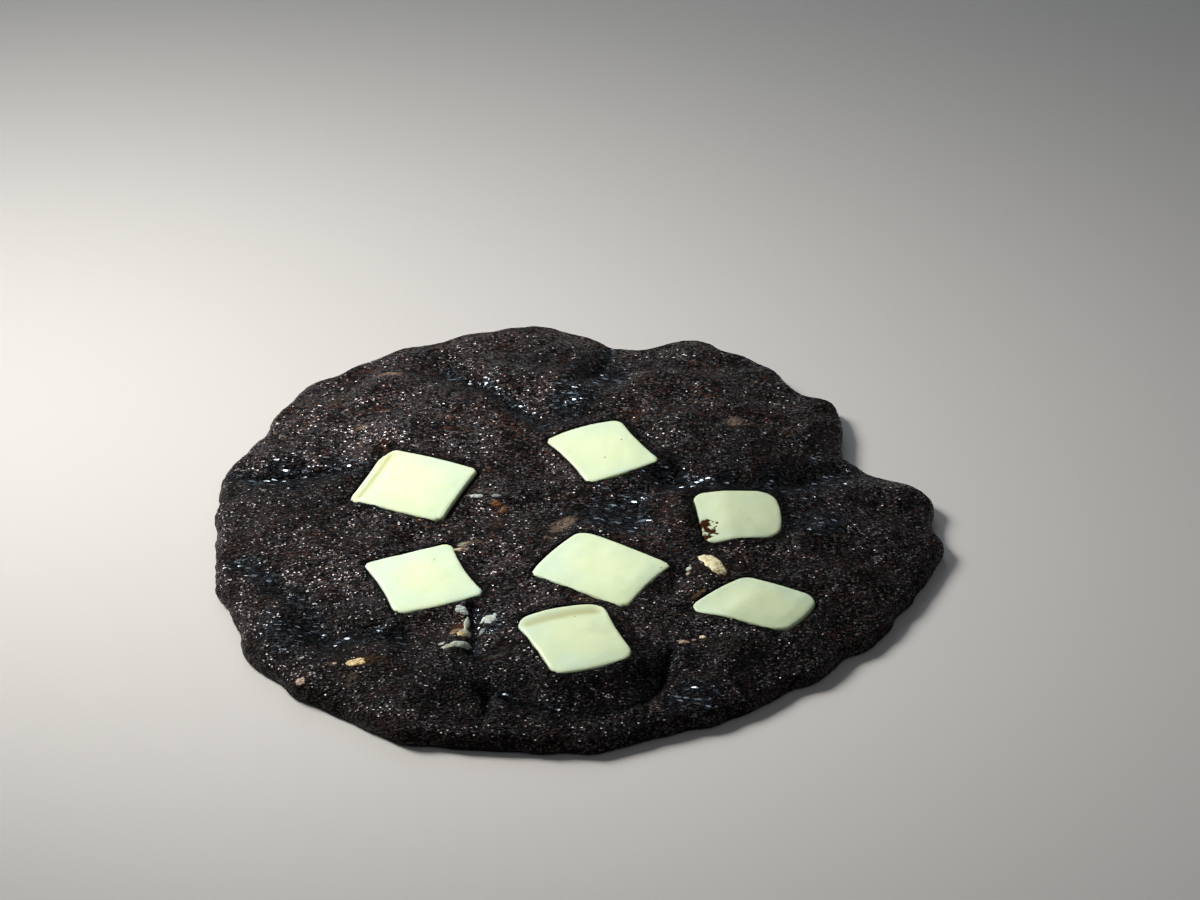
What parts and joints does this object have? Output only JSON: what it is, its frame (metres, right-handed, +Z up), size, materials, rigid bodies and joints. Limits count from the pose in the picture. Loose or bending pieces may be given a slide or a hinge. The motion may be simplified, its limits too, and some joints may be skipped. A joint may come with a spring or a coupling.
{
  "type": "triple chocolate cookie",
  "caption": "Thin round dark chocolate cookie with an uneven baked rim, creased top and chunks of white chocolate set into it; lies flat.",
  "frame": {"origin": "middle of the cookie's bounding box, on the flat underside that it rests on", "axes": "+Z up out of the top with the chunks; -Y is the near side of the picture, +X its right side"},
  "size_m": [0.0899, 0.0901, 0.0067],
  "materials": {
    "dark_dough": "baked crumb, almost black, moist, with fine bright glints",
    "white_chocolate": "smooth, softened by heat, slightly waxy, cream-white"
  },
  "bodies": {
    "root": {"cookie": "dark_dough", "white_chunk_1": "white_chocolate", "white_chunk_2": "white_chocolate", "white_chunk_3": "white_chocolate", "white_chunk_4": "white_chocolate", "white_chunk_5": "white_chocolate", "white_chunk_6": "white_chocolate", "white_chunk_7": "white_chocolate"}
  },
  "joints": []
}
